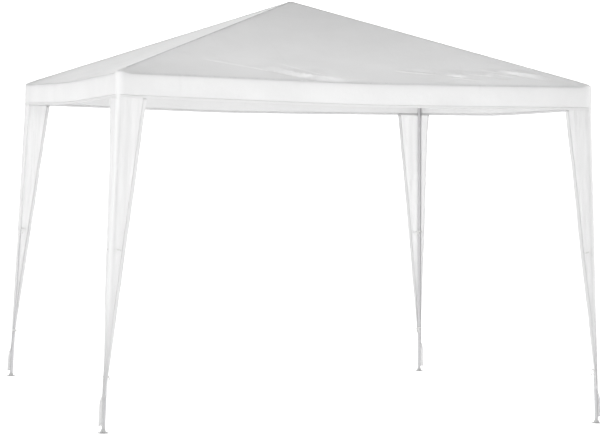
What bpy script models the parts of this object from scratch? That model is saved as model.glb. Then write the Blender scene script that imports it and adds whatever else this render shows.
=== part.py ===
"""Square party tent, 3 m on a side: a pyramid roof sheet with a valance and four corner curtains,
stretched over a socketed frame of round steel tube.

Metres, +Z up. The origin is on the ground, under the peak. The front faces -Y.
The tent has fourfold symmetry: one quarter, with the front left corner and the front side,
is modelled once, and four turned empties carry the four copies of it.
"""

import math

import bmesh
import bpy
from mathutils import Vector

# Frame: leg axes at the eave, and the heights where tube axes meet
LEG_SPACING = 2.960
EAVE_HEIGHT = 2.0630
RAFTER_HEIGHT = 2.0735
PEAK_HEIGHT = 2.6194
LEG_SPLAY = 0.074
EAVE_DROOP = 0.0230
LEG_JOINT_HEIGHT = 1.034

# Tube, its swaged ends and the connector arms that plug into it
TUBE_RADIUS = 0.011
TUBE_WALL = 0.0008
SEAT_GAP = 0.0003
SPIGOT_RADIUS = TUBE_RADIUS - TUBE_WALL - SEAT_GAP
SPIGOT_LENGTH = 0.060
SWAGE_TAPER = 0.003
ARM_LENGTH = 0.034
CORNER_KNUCKLE_RADIUS = 0.0138
ELBOW_RADIUS = 0.0116
HUB_BARREL_RADIUS = 0.0190
HUB_BARREL_HEIGHT = 0.024
ROUND_SIDES = 16
ARM_OVERLAP = 0.004

# Foot: a round plate with a flared boss and two peg holes
FOOT_RADIUS = 0.0345
FOOT_PLATE_THICKNESS = 0.0035
FOOT_FLARE_RADIUS = 0.0235
FOOT_FLARE_TOP_RADIUS = 0.0125
FOOT_FLARE_HEIGHT = 0.022
PEG_HOLE_RADIUS = 0.0035
PEG_HOLE_OFFSET = 0.0285

# Tarpaulin sheet
SHEET_SIZE = 3.000
SHEET_THICKNESS = 0.002
SEAM_GAP = 0.00025
CORNER_SHEET_HEIGHT = 2.0835
PEAK_SHEET_HEIGHT = 2.6345
FOLD_RISE = 0.0075
KNUCKLE_COVER = 0.024
LIFT_REACH = 0.085
PANEL_SAG = 0.024
VALANCE_DROP = 0.1375
CURTAIN_WIDTH = 0.177
CURTAIN_FOOT_WIDTH = 0.014
CURTAIN_TAPER_END = 0.230
CURTAIN_FOOT_HEIGHT = 0.045
FOLD_STATIONS = (0.0, 0.024, 0.055, 0.085, 0.22, 0.50, 0.95, 1.5)
PANEL_ROWS = (0.0, 0.024, 0.13, 0.27, 0.42, 0.58, 0.75, 0.90, 1.0)
CURTAIN_ROWS = 8

HALF_FRAME = LEG_SPACING / 2
HALF_SHEET = SHEET_SIZE / 2
QUARTERS = (("front_left", "front"), ("front_right", "right"), ("back_right", "back"), ("back_left", "left"))

CORNER = Vector((-HALF_FRAME, -HALF_FRAME, EAVE_HEIGHT))
RAFTER_FOOT = Vector((-HALF_FRAME, -HALF_FRAME, RAFTER_HEIGHT))
NEXT_CORNER = Vector((HALF_FRAME, -HALF_FRAME, EAVE_HEIGHT))
LAST_CORNER = Vector((-HALF_FRAME, HALF_FRAME, EAVE_HEIGHT))
GROUND = Vector((-HALF_FRAME - LEG_SPLAY, -HALF_FRAME - LEG_SPLAY, 0.0))
FRONT_MIDDLE = Vector((0.0, -HALF_FRAME, EAVE_HEIGHT - EAVE_DROOP))
LEFT_MIDDLE = Vector((-HALF_FRAME, 0.0, EAVE_HEIGHT - EAVE_DROOP))
PEAK = Vector((0.0, 0.0, PEAK_HEIGHT))


def clear_scene():
    for obj in list(bpy.data.objects):
        bpy.data.objects.remove(obj, do_unlink=True)


def add_collection(name):
    collection = bpy.data.collections.new(name)
    bpy.context.scene.collection.children.link(collection)
    return collection


def add_material(name, colour, roughness, metallic):
    material = bpy.data.materials.new(name)
    material.use_nodes = True
    shader = material.node_tree.nodes["Principled BSDF"]
    shader.inputs["Base Color"].default_value = (*colour, 1.0)
    shader.inputs["Roughness"].default_value = roughness
    shader.inputs["Metallic"].default_value = metallic
    return material


def object_from_bmesh(bm, name, collection):
    mesh = bpy.data.meshes.new(name)
    bm.to_mesh(mesh)
    bm.free()
    obj = bpy.data.objects.new(name, mesh)
    collection.objects.link(obj)
    return obj


def place_along(obj, start, direction):
    """Put an object's own +Z along a direction, with its origin at start."""
    obj.location = start
    obj.rotation_mode = "QUATERNION"
    obj.rotation_quaternion = direction.to_track_quat("Z", "Y")


def baked_mesh(obj, name):
    """The object's evaluated mesh in world space. The object is removed."""
    bpy.context.view_layer.update()
    graph = bpy.context.evaluated_depsgraph_get()
    mesh = bpy.data.meshes.new_from_object(obj.evaluated_get(graph))
    mesh.transform(obj.matrix_world)
    mesh.name = name
    bpy.data.objects.remove(obj, do_unlink=True)
    return mesh


def shade_round(mesh):
    mesh.shade_smooth()
    mesh.set_sharp_from_angle(angle=math.radians(35))


def add_cylinder(name, radius, length, collection, top_radius=None):
    """A closed cylinder, or a cone frustum, standing on its own origin."""
    bm = bmesh.new()
    bmesh.ops.create_cone(
        bm,
        cap_ends=True,
        segments=ROUND_SIDES,
        radius1=radius,
        radius2=radius if top_radius is None else top_radius,
        depth=length,
    )
    bmesh.ops.translate(bm, verts=bm.verts[:], vec=(0.0, 0.0, length / 2))
    return object_from_bmesh(bm, name, collection)


def add_ball(name, radius, centre, collection):
    bm = bmesh.new()
    bmesh.ops.create_uvsphere(bm, u_segments=ROUND_SIDES, v_segments=ROUND_SIDES // 2, radius=radius)
    obj = object_from_bmesh(bm, name, collection)
    obj.location = centre
    return obj


def add_boolean(obj, operation, tool):
    modifier = obj.modifiers.new(operation.title(), "BOOLEAN")
    modifier.operation = operation
    modifier.solver = "EXACT"
    modifier.object = tool


def hide_tool(obj):
    obj.hide_render = True
    obj.display_type = "WIRE"


def tube_profile(length, swaged):
    """Half section of a tube that stands on its origin, down the outside and up the inside."""
    bore = TUBE_RADIUS - TUBE_WALL
    if not swaged:
        return [(TUBE_RADIUS, length), (TUBE_RADIUS, 0.0), (bore, 0.0), (bore, length)]
    shoulder = length - SWAGE_TAPER
    end = length + SPIGOT_LENGTH
    spigot_bore = SPIGOT_RADIUS - TUBE_WALL
    outside = [(SPIGOT_RADIUS, end), (SPIGOT_RADIUS, length), (TUBE_RADIUS, shoulder), (TUBE_RADIUS, 0.0)]
    inside = [(bore, 0.0), (bore, shoulder - TUBE_WALL), (spigot_bore, length - TUBE_WALL), (spigot_bore, end)]
    return outside + inside


def tube_mesh(name, start, end, swaged, tools):
    """A tube from start to end, turned about its axis. A swaged one has a spigot beyond its end."""
    profile = tube_profile((end - start).length, swaged)
    count = len(profile)
    mesh = bpy.data.meshes.new(name)
    edges = [(i, (i + 1) % count) for i in range(count)]
    mesh.from_pydata([(radius, 0.0, height) for radius, height in profile], edges, [])
    obj = bpy.data.objects.new(name, mesh)
    tools.objects.link(obj)
    screw = obj.modifiers.new("Turn", "SCREW")
    screw.steps = screw.render_steps = ROUND_SIDES
    screw.use_merge_vertices = True
    screw.merge_threshold = 0.00001
    place_along(obj, start, end - start)
    made = baked_mesh(obj, name)
    shade_round(made)
    return made


def along(start, end, distance):
    return start + (end - start).normalized() * distance


def jointed_tubes(name, start, end, joint, tools):
    """Two tubes between two points: the first is swaged and plugs into the second at the joint.

    Where the run bends at the joint, the spigot is set at the angle of the second tube.
    """
    shoulder = along(joint, start, SEAT_GAP)
    first = tube_mesh(name + "_swaged", start, shoulder, True, tools)
    bend = (shoulder - start).rotation_difference(end - joint)
    for vertex in first.vertices:
        if (vertex.co - shoulder).dot(shoulder - start) > 0.0:
            vertex.co = joint + bend @ (vertex.co - joint)
    second = tube_mesh(name + "_plain", joint, end, False, tools)
    return first, second


def leg_meshes(tools):
    """Lower and upper leg tube. The lower one's spigot enters the upper one."""
    share = LEG_JOINT_HEIGHT / EAVE_HEIGHT
    joint = GROUND.lerp(CORNER, share)
    seat = along(GROUND, CORNER, FOOT_FLARE_HEIGHT + SEAT_GAP)
    top = along(CORNER, GROUND, ARM_LENGTH + SEAT_GAP)
    return jointed_tubes("leg", seat, top, joint, tools)


def eave_meshes(tools):
    """The two tubes of the front eave, which meet in the middle of the side."""
    start = along(CORNER, FRONT_MIDDLE, ARM_LENGTH + SEAT_GAP)
    end = along(NEXT_CORNER, FRONT_MIDDLE, ARM_LENGTH + SEAT_GAP)
    return jointed_tubes("eave", start, end, FRONT_MIDDLE, tools)


def rafter_meshes(tools):
    start = along(RAFTER_FOOT, PEAK, ARM_LENGTH + SEAT_GAP)
    end = along(PEAK, RAFTER_FOOT, ARM_LENGTH + SEAT_GAP)
    return jointed_tubes("rafter", start, end, RAFTER_FOOT.lerp(PEAK, 0.5), tools)


def connector_arm(name, centre, target, tools):
    """A stub as thick as the tube, with the spigot that the tube slides over."""
    direction = target - centre
    stub = add_cylinder(name + "_stub", TUBE_RADIUS, ARM_LENGTH, tools)
    place_along(stub, centre, direction)
    spigot = add_cylinder(name + "_spigot", SPIGOT_RADIUS, SPIGOT_LENGTH + ARM_OVERLAP, tools)
    place_along(spigot, centre + direction.normalized() * (ARM_LENGTH - ARM_OVERLAP), direction)
    return [stub, spigot]


def joined_mesh(base, tools_to_join, name):
    for tool in tools_to_join:
        hide_tool(tool)
        add_boolean(base, "UNION", tool)
    made = baked_mesh(base, name)
    for tool in tools_to_join:
        bpy.data.objects.remove(tool, do_unlink=True)
    shade_round(made)
    return made


def corner_connector_mesh(tools):
    """Four way corner: two eave arms and the leg arm at one level, the rafter arm a tube higher."""
    base = add_ball("corner_connector", CORNER_KNUCKLE_RADIUS, CORNER, tools)
    neck = add_cylinder("corner_neck", TUBE_RADIUS * 0.93, RAFTER_HEIGHT - EAVE_HEIGHT, tools)
    neck.location = CORNER
    pieces = [neck, add_ball("corner_elbow", ELBOW_RADIUS, RAFTER_FOOT, tools)]
    pieces += connector_arm("corner_rafter", RAFTER_FOOT, PEAK, tools)
    pieces += connector_arm("corner_front", CORNER, FRONT_MIDDLE, tools)
    pieces += connector_arm("corner_left", CORNER, LEFT_MIDDLE, tools)
    pieces += connector_arm("corner_leg", CORNER, GROUND, tools)
    return joined_mesh(base, pieces, "corner_connector")


def peak_connector_mesh(tools):
    """Four way peak: the rafter arms on a short barrel."""
    base = add_cylinder("peak_connector", HUB_BARREL_RADIUS, HUB_BARREL_HEIGHT, tools)
    base.location = PEAK - Vector((0.0, 0.0, HUB_BARREL_HEIGHT - 0.002))
    pieces = [add_ball("peak_crown", ELBOW_RADIUS, PEAK, tools)]
    for x_side, y_side in ((-1, -1), (1, -1), (1, 1), (-1, 1)):
        target = Vector((x_side * HALF_FRAME, y_side * HALF_FRAME, RAFTER_HEIGHT))
        pieces += connector_arm("peak_arm", PEAK, target, tools)
    return joined_mesh(base, pieces, "peak_connector")


def foot_mesh(tools):
    """Round plate flat on the ground, with a flared boss and a spigot along the leaning leg."""
    plate = add_cylinder("foot", FOOT_RADIUS, FOOT_PLATE_THICKNESS, tools)
    plate.location = GROUND
    flare = add_cylinder("foot_flare", FOOT_FLARE_RADIUS, FOOT_FLARE_HEIGHT - 0.001, tools, FOOT_FLARE_TOP_RADIUS)
    place_along(flare, along(GROUND, CORNER, 0.001), CORNER - GROUND)
    # The flare starts inside the plate, so its tilted base never reaches the ground
    flare.location += Vector((0.0, 0.0, 0.0003))
    spigot = add_cylinder("foot_spigot", SPIGOT_RADIUS, SPIGOT_LENGTH, tools)
    place_along(spigot, along(GROUND, CORNER, FOOT_FLARE_HEIGHT - 0.005), CORNER - GROUND)
    pieces = [flare, spigot]
    for tool in pieces:
        hide_tool(tool)
        add_boolean(plate, "UNION", tool)
    for side in (-1, 1):
        hole = add_cylinder("foot_peg_hole", PEG_HOLE_RADIUS, FOOT_PLATE_THICKNESS * 4, tools)
        # The holes lie along the side of the tent, at right angles to the diagonal through the leg
        offset = Vector((1.0, -1.0, 0.0)).normalized() * side * PEG_HOLE_OFFSET
        hole.location = GROUND + offset - Vector((0.0, 0.0, FOOT_PLATE_THICKNESS))
        hide_tool(hole)
        add_boolean(plate, "DIFFERENCE", hole)
        pieces.append(hole)
    made = baked_mesh(plate, "foot")
    for tool in pieces:
        bpy.data.objects.remove(tool, do_unlink=True)
    shade_round(made)
    return made


def fold_stations():
    """Places along a side, from -1 at one corner to 1 at the next, closer together near the corners."""
    left = [-1.0 + distance / HALF_SHEET for distance in FOLD_STATIONS]
    return left + [-station for station in reversed(left[:-1])]


def eave_line_height(u):
    """Height of the roof sheet's fold over the eave tubes, with no lift at the corners."""
    return EAVE_HEIGHT - EAVE_DROOP * (1.0 - abs(u)) + FOLD_RISE


def rafter_lift(distance):
    """How far the rafter and its connector hold the sheet up, at a distance from the hip."""
    share = min(max((LIFT_REACH - distance) / (LIFT_REACH - KNUCKLE_COVER), 0.0), 1.0)
    return (CORNER_SHEET_HEIGHT - eave_line_height(1.0)) * share


def fold_height(u):
    return eave_line_height(u) + rafter_lift((1.0 - abs(u)) * HALF_SHEET)


def panel_point(u, s):
    """The roof's outer face: u runs along the eave, s from the eave to the peak."""
    eave = Vector((u * (HALF_SHEET - SEAM_GAP), -HALF_SHEET, eave_line_height(u)))
    tip = Vector((0.0, -SEAM_GAP, PEAK_SHEET_HEIGHT))
    point = eave.lerp(tip, s)
    point.z += rafter_lift((1.0 - abs(u)) * HALF_SHEET * (1.0 - s)) * (1.0 - s)
    point.z -= PANEL_SAG * (1.0 - u * u) ** 2 * (4.0 * s * (1.0 - s)) ** 1.5
    return point


def grid_bmesh(columns, rows, place):
    """A grid of faces, moved so that its vertex at (column, row) lies at place(column, row)."""
    bm = bmesh.new()
    bmesh.ops.create_grid(bm, x_segments=len(columns) - 1, y_segments=len(rows) - 1, size=1.0)
    for vertex in bm.verts:
        column = round((vertex.co.x + 1.0) / 2.0 * (len(columns) - 1))
        row = round((vertex.co.y + 1.0) / 2.0 * (len(rows) - 1))
        vertex.co = place(columns[column], rows[row])
    bmesh.ops.remove_doubles(bm, verts=bm.verts[:], dist=0.00001)
    return bm


def thickened_mesh(bm, name, move, collection):
    """Give a sheet its thickness: a second layer, moved from the first, and the rim between them."""
    made = bmesh.ops.extrude_face_region(bm, geom=bm.faces[:], use_keep_orig=True)
    for vertex in made["geom"]:
        if isinstance(vertex, bmesh.types.BMVert):
            vertex.co = move(vertex.co)
    bmesh.ops.recalc_face_normals(bm, faces=bm.faces[:])
    return baked_mesh(object_from_bmesh(bm, name, collection), name)


def roof_panel_mesh(tools):
    """The roof sheet's front gore, cut along vertical planes at its two hips."""
    bm = grid_bmesh(fold_stations(), PANEL_ROWS, panel_point)
    down = Vector((0.0, 0.0, -SHEET_THICKNESS))
    return thickened_mesh(bm, "roof_panel", lambda point: point + down, tools)


def valance_bottom(u):
    return eave_line_height(u) - VALANCE_DROP


def valance_mesh(tools):
    """The front valance, mitred where it meets the side valances."""
    half_width = HALF_SHEET - SEAM_GAP

    def place(u, share):
        top = fold_height(u) - SHEET_THICKNESS - SEAT_GAP
        return Vector((u * half_width, -HALF_SHEET, top + (valance_bottom(u) - top) * share))

    def move(point):
        mitre = (half_width - SHEET_THICKNESS) / half_width
        return Vector((point.x * mitre, point.y + SHEET_THICKNESS, point.z))

    return thickened_mesh(grid_bmesh(fold_stations(), (0.0, 1.0), place), "valance", move, tools)


def curtain_width(height):
    top = valance_bottom(1.0)
    share = (height - CURTAIN_TAPER_END) / (top - CURTAIN_TAPER_END)
    return CURTAIN_FOOT_WIDTH + (CURTAIN_WIDTH - CURTAIN_FOOT_WIDTH) * max(share, 0.0)


def corner_curtain_mesh(tools):
    """Two tapered wings of sheet that meet in an upright fold outside the leg, and lean with it."""
    top = valance_bottom(1.0)
    lean = LEG_SPLAY / EAVE_HEIGHT
    slanted = [top + (CURTAIN_TAPER_END - top) * i / CURTAIN_ROWS for i in range(CURTAIN_ROWS + 1)]
    heights = slanted + [CURTAIN_FOOT_HEIGHT]

    def place(wing, height):
        outer = HALF_SHEET + (top - height) * lean
        reach = outer - curtain_width(height) * abs(wing)
        # The wing's upper edge follows the drooping hem of the valance
        if height == top:
            height = valance_bottom(reach / HALF_SHEET) - SEAM_GAP
        x = -reach if wing < 0 else -outer
        y = -outer if wing < 0 else -reach
        return Vector((x, y, height))

    bm = grid_bmesh((-1.0, -0.5, 0.0, 0.5, 1.0), heights, place)
    bmesh.ops.recalc_face_normals(bm, faces=bm.faces[:])
    obj = object_from_bmesh(bm, "corner_curtain", tools)
    shell = obj.modifiers.new("Sheet", "SOLIDIFY")
    shell.thickness = SHEET_THICKNESS
    shell.use_even_offset = True
    shell.offset = -1.0 if sheet_faces_out(obj.data) else 1.0
    return baked_mesh(obj, "corner_curtain")


def sheet_faces_out(mesh):
    """True if the sheet's faces point away from the tent's middle."""
    return sum(face.normal.x * face.center.x + face.normal.y * face.center.y for face in mesh.polygons) > 0


def add_node(name, mesh, material, turn, collection):
    """One named piece in its quarter of the tent. Its four copies share a mesh."""
    if not mesh.materials:
        mesh.materials.append(material)
    obj = bpy.data.objects.new(name, mesh)
    obj.parent = turn
    collection.objects.link(obj)


def add_quarter_turns(collection):
    turns = []
    for index, (_, side) in enumerate(QUARTERS):
        turn = bpy.data.objects.new("turn_" + side, None)
        turn.rotation_euler = (0.0, 0.0, index * math.pi / 2)
        collection.objects.link(turn)
        turns.append(turn)
    return turns


def build_tent():
    clear_scene()
    tent = add_collection("party_tent")
    tools = add_collection("cutters")
    tarpaulin = add_material("white_tarpaulin", (0.86, 0.86, 0.86), 0.45, 0.0)
    steel = add_material("painted_steel", (0.55, 0.55, 0.56), 0.38, 0.3)
    plastic = add_material("grey_plastic", (0.42, 0.42, 0.43), 0.5, 0.0)
    leg_lower, leg_upper = leg_meshes(tools)
    eave_first, eave_second = eave_meshes(tools)
    rafter_lower, rafter_upper = rafter_meshes(tools)
    corner_nodes = (
        ("foot_", foot_mesh(tools), steel),
        ("leg_lower_", leg_lower, steel),
        ("leg_upper_", leg_upper, steel),
        ("corner_connector_", corner_connector_mesh(tools), plastic),
        ("rafter_lower_", rafter_lower, steel),
        ("rafter_upper_", rafter_upper, steel),
        ("corner_curtain_", corner_curtain_mesh(tools), tarpaulin),
    )
    side_nodes = (
        ("eave_tube_first_", eave_first, steel),
        ("eave_tube_second_", eave_second, steel),
        ("roof_panel_", roof_panel_mesh(tools), tarpaulin),
        ("valance_", valance_mesh(tools), tarpaulin),
    )
    for turn, (corner, side) in zip(add_quarter_turns(tent), QUARTERS):
        for prefix, mesh, material in corner_nodes:
            add_node(prefix + corner, mesh, material, turn, tent)
        for prefix, mesh, material in side_nodes:
            add_node(prefix + side, mesh, material, turn, tent)
    add_node("peak_connector", peak_connector_mesh(tools), plastic, None, tent)


build_tent()
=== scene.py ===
"""A square party tent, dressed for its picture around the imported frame.

The roof is one sheet with its valance, drawn over eave and rafter tubes, and each corner has a
tapered curtain. Everything is in metres, +Z up, with the front of the tent facing -Y.
"""

import math

import bmesh
import bpy
from mathutils import Matrix, Vector, noise


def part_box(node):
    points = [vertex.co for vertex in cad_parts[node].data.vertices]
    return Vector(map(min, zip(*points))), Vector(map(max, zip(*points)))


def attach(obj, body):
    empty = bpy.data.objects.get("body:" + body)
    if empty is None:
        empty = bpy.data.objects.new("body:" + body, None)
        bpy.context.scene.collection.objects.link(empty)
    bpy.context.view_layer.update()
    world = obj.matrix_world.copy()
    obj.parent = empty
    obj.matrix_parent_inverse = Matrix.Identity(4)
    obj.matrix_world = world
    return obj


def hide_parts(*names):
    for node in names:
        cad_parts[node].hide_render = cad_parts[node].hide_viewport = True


bl_info = {
    "name": "Party tent",
    "version": (1, 0, 0),
    "blender": (4, 5, 0),
    "location": "View3D > Sidebar > Tent",
    "description": "Sheets, tubes, connectors, feet and ties of a square party tent",
    "category": "Object",
}

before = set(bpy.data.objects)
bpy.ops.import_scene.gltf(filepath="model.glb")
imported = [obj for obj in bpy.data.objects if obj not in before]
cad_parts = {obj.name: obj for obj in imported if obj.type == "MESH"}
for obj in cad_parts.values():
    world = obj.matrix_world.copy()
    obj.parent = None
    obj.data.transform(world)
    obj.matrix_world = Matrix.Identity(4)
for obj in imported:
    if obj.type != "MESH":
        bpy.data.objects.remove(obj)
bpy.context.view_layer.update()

CORNERS = ("front_left", "front_right", "back_right", "back_left")
SIDES = ("front", "right", "back", "left")
CLOTH_MAP = "cloth"
ROOT = "root"

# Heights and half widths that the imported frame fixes. The sheet's corners rise over the solid valance
CORNER_RISE = 0.0023
HALF_SHEET = -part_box("valance_front")[0][1]
CORNER_SHEET_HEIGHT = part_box("valance_front")[1][2] + CORNER_RISE
PEAK_SHEET_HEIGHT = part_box("roof_panel_front")[1][2]
GROUND_REACH = -sum(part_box("foot_front_left")[end][0] for end in (0, 1)) / 2

# Roof sheet: its rounded folds and corners, and the clearance, place and thickness of its seams and hem
EAVE_FOLD_RADIUS = 0.0055
ROOF_CORNER_RADIUS = 0.018
SEAM_ALLOWANCE = 0.0005
HIP_SEAM_ASIDE = 0.0052
HIP_SEAM_THICKNESS = 0.0012
EAVE_SEAM_INSET = 0.0115
EAVE_SEAM_THICKNESS = 0.0010
VALANCE_HEM_THICKNESS = 0.0022

# Curtains: the upright fold, the overlap behind the valance, the hems and the ends near the ground
CURTAIN_FOLD_RADIUS = 0.014
CURTAIN_CLEARANCE = 0.0016
CURTAIN_OVERLAP = 0.009
CURTAIN_HEM_WIDTH = 0.023
CURTAIN_HEM_THICKNESS = 0.0019
CURTAIN_BOTTOM = 0.040
TAIL_WIDTH = 0.028
TIP_END_WIDTH = 0.0040
# How far the longer wing's tail turns outwards, in radians
TAIL_TURN = 1.40

# Frame details: the foot's seat for its tube, the gap at every joint, and how far a spigot runs into a tube
FOOT_SEAT = 0.0223
SEAT_GAP = 0.0003
SPIGOT_LENGTH = 0.060
TUBE_STEPS = 32
MOULD_VOXEL = 0.0013
FOOT_DISC_THICKNESS = 0.0037
PEG_HOLE_RADIUS = 0.0034
PEG_HOLE_REACH = 0.0285

# Tie tapes: their widths and thickness, and the directions across and away from a leg's inner side
STRAP_WIDTH = 0.009
TAIL_TAPE_WIDTH = 0.007
TAPE_THICKNESS = 0.0007
ACROSS = Vector((0.7071, -0.7071, 0.0))
INWARDS = Vector((0.7071, 0.7071, 0.0))
UP = Vector((0.0, 0.0, 1.0))

# Pitch of the sheet's tape weave, of the finer weave of hems and seams, and of the ribs of the tie tapes
SHEET_WEAVE = 0.0064
FINE_WEAVE = 0.0032
RIB_PITCH = 0.0012
MILLIMETRE = 0.001

# Camera fitted to the photograph: its place, and its heading, pitch and roll in degrees
CAMERA_PLACE = (-4.1553, -13.5049, 1.6326)
CAMERA_HEADING = -17.4677
CAMERA_PITCH = -1.7536
CAMERA_ROLL = 1.1575


def smoothstep(low, high, value):
    share = min(max((value - low) / (high - low), 0.0), 1.0)
    return share * share * (3.0 - 2.0 * share)


class TentSizes(bpy.types.PropertyGroup):
    """Sizes of the frame and its sheets."""

    leg_spacing: bpy.props.FloatProperty(
        name="Leg spacing",
        description="Distance between leg axes at the eave",
        default=2.96,
        unit="LENGTH",
    )
    eave_height: bpy.props.FloatProperty(
        name="Eave height",
        description="Height of the eave tube axes at the corners",
        default=2.063,
        unit="LENGTH",
    )
    eave_droop: bpy.props.FloatProperty(
        name="Eave droop",
        description="How far an eave tube's middle joint hangs down",
        default=0.023,
        unit="LENGTH",
    )
    rafter_height: bpy.props.FloatProperty(
        name="Rafter height",
        description="Height of the rafter axes at the corners",
        default=2.0735,
        unit="LENGTH",
    )
    peak_height: bpy.props.FloatProperty(
        name="Peak height",
        description="Height where the rafter axes meet",
        default=2.6194,
        unit="LENGTH",
    )
    leg_joint_height: bpy.props.FloatProperty(
        name="Leg joint height",
        description="Height of the joint in each leg",
        default=1.034,
        unit="LENGTH",
    )
    tube_radius: bpy.props.FloatProperty(
        name="Tube radius", description="Outer radius of every tube", default=0.011, unit="LENGTH"
    )
    tube_wall: bpy.props.FloatProperty(
        name="Tube wall", description="Wall thickness of every tube", default=0.0008, unit="LENGTH"
    )
    arm_length: bpy.props.FloatProperty(
        name="Arm length",
        description="Connector centre to the end of the tube on its arm",
        default=0.034,
        unit="LENGTH",
    )
    sheet_thickness: bpy.props.FloatProperty(
        name="Sheet thickness",
        description="Thickness of the tarpaulin",
        default=0.0008,
        unit="LENGTH",
    )
    fold_rise: bpy.props.FloatProperty(
        name="Fold rise",
        description="Sheet's fold above the eave tube axis",
        default=0.0075,
        unit="LENGTH",
    )
    panel_sag: bpy.props.FloatProperty(
        name="Panel sag",
        description="How far the middle of a roof gore hangs down",
        default=0.024,
        unit="LENGTH",
    )
    valance_drop: bpy.props.FloatProperty(
        name="Valance drop",
        description="Height of the valance below its fold",
        default=0.1375,
        unit="LENGTH",
    )
    curtain_width: bpy.props.FloatProperty(
        name="Curtain width",
        description="Width of one curtain wing at the valance",
        default=0.177,
        unit="LENGTH",
    )
    curtain_tip_width: bpy.props.FloatProperty(
        name="Curtain tip width",
        description="Width of one wing where its taper ends",
        default=0.014,
        unit="LENGTH",
    )
    curtain_tip_height: bpy.props.FloatProperty(
        name="Curtain tip height",
        description="Height where the taper ends",
        default=0.23,
        unit="LENGTH",
    )


class TentColours(bpy.types.PropertyGroup):
    """Colours of the finishes."""

    sheet: bpy.props.FloatVectorProperty(
        name="Sheet",
        description="Coated tarpaulin",
        default=(0.80, 0.80, 0.80),
        subtype="COLOR",
        size=3,
    )
    # The seam colour, darker than the sheet, is painted shade along the hip seams; the eave tape uses it 1.28
    # times paler
    seam: bpy.props.FloatVectorProperty(
        name="Seam",
        description="Seam tape on the hips and eaves",
        default=(0.66, 0.66, 0.67),
        subtype="COLOR",
        size=3,
    )
    tube: bpy.props.FloatVectorProperty(
        name="Tube",
        description="Powder coat on the tubes",
        default=(0.52, 0.52, 0.53),
        subtype="COLOR",
        size=3,
    )
    foot: bpy.props.FloatVectorProperty(
        name="Foot",
        description="Paler coat on the feet",
        default=(0.54, 0.54, 0.54),
        subtype="COLOR",
        size=3,
    )
    plastic: bpy.props.FloatVectorProperty(
        name="Plastic",
        description="Moulded connectors",
        default=(0.40, 0.40, 0.41),
        subtype="COLOR",
        size=3,
    )
    webbing: bpy.props.FloatVectorProperty(
        name="Webbing", description="Tie tapes", default=(0.74, 0.74, 0.73), subtype="COLOR", size=3
    )


class StageSettings(bpy.types.PropertyGroup):
    """Studio floor, light and camera."""

    floor_size: bpy.props.FloatProperty(
        name="Floor size", description="Half width of the floor", default=120.0, unit="LENGTH"
    )
    floor_light: bpy.props.FloatProperty(
        name="Floor light", description="Glow of the white floor", default=1.18
    )
    strip_power: bpy.props.FloatProperty(
        name="Strip power",
        description="Power of the soft box over each eave, in watts",
        default=6.0,
    )
    front_strip_power: bpy.props.FloatProperty(
        name="Front strip power",
        description="Power of the soft box over the front eave, in watts",
        default=14.0,
    )
    wall_light: bpy.props.FloatProperty(
        name="Wall light", description="Brightness of the studio wall at the front", default=0.68
    )
    bright_wall: bpy.props.FloatProperty(
        name="Bright wall", description="Brightness of the studio wall at the back", default=1.70
    )
    overhead_light: bpy.props.FloatProperty(
        name="Overhead light", description="Brightness of the studio ceiling", default=0.08
    )
    key_power: bpy.props.FloatProperty(
        name="Key power",
        description="Power of the soft box at the front left, in watts",
        default=175.0,
    )
    rear_power: bpy.props.FloatProperty(
        name="Rear power",
        description="Power of the soft box behind the tent at the right, in watts",
        default=190.0,
    )
    lens: bpy.props.FloatProperty(
        name="Lens",
        description="Focal length on a 36 mm wide sensor, in millimetres",
        default=127.656,
    )


class Signal:
    """A value in a material. Sums written with it add their Math nodes."""

    def __init__(self, nodes, socket):
        self.nodes = nodes
        self.socket = socket

    def math(self, operation, *others):
        values = dict(enumerate((self, *others)))
        return self.nodes.add("ShaderNodeMath", {"operation": operation}, values).out(0)

    def __add__(self, other):
        return self.math("ADD", other)

    __radd__ = __add__

    def __mul__(self, other):
        return self.math("MULTIPLY", other)

    __rmul__ = __mul__

    def __sub__(self, other):
        return self.math("SUBTRACT", other)

    def __rsub__(self, other):
        return Signal(self.nodes, other).math("SUBTRACT", self)

    def wave(self, pitch):
        """A sine wave of this length, from -1 to 1."""
        return (self * (math.tau / pitch)).math("SINE")

    def band(self, centre, half_width, softness):
        """1 within half_width of centre, falling to 0 over softness."""
        distance = (self - centre).math("ABSOLUTE")
        sockets = {"Value": distance, "From Min": half_width + softness, "From Max": half_width}
        return self.nodes.add("ShaderNodeMapRange", {}, sockets).out(0)

    def widened(self, low=0.36, high=0.64):
        """0 up to low and 1 from high on, in a straight line between them, as for a noise value."""
        sockets = {"Value": self, "From Min": low, "From Max": high}
        return self.nodes.add("ShaderNodeMapRange", {}, sockets).out(0)

    def eased(self, low, high):
        """0 up to low and 1 from high on, with a smooth step between them."""
        sockets = {"Value": self, "From Min": low, "From Max": high}
        return self.nodes.add("ShaderNodeMapRange", {"interpolation_type": "SMOOTHSTEP"}, sockets).out(0)

    def nearest_multiple(self, pitch):
        """Distance to the nearest multiple of pitch."""
        return self.math("PINGPONG", pitch / 2)


class Nodes:
    """The nodes of one material or of the world."""

    def __init__(self, tree):
        self.tree = tree
        tree.nodes.clear()

    def add(self, kind, settings=None, sockets=None):
        """A node of this kind. Settings are set first, then its sockets get values or links."""
        made = Added(self, self.tree.nodes.new(kind))
        for name, value in (settings or {}).items():
            setattr(made.node, name, value)
        for name, value in (sockets or {}).items():
            made.feed(name, value)
        return made


class Added:
    """A node that has been added, with its sockets by name or number."""

    def __init__(self, nodes, node):
        self.nodes = nodes
        self.node = node

    def feed(self, name, value):
        socket = self.node.inputs[name]
        if isinstance(value, Signal) and isinstance(value.socket, bpy.types.NodeSocket):
            self.nodes.tree.links.new(value.socket, socket)
        else:
            socket.default_value = value.socket if isinstance(value, Signal) else value

    def out(self, name):
        return Signal(self.nodes, self.node.outputs[name])


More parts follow.
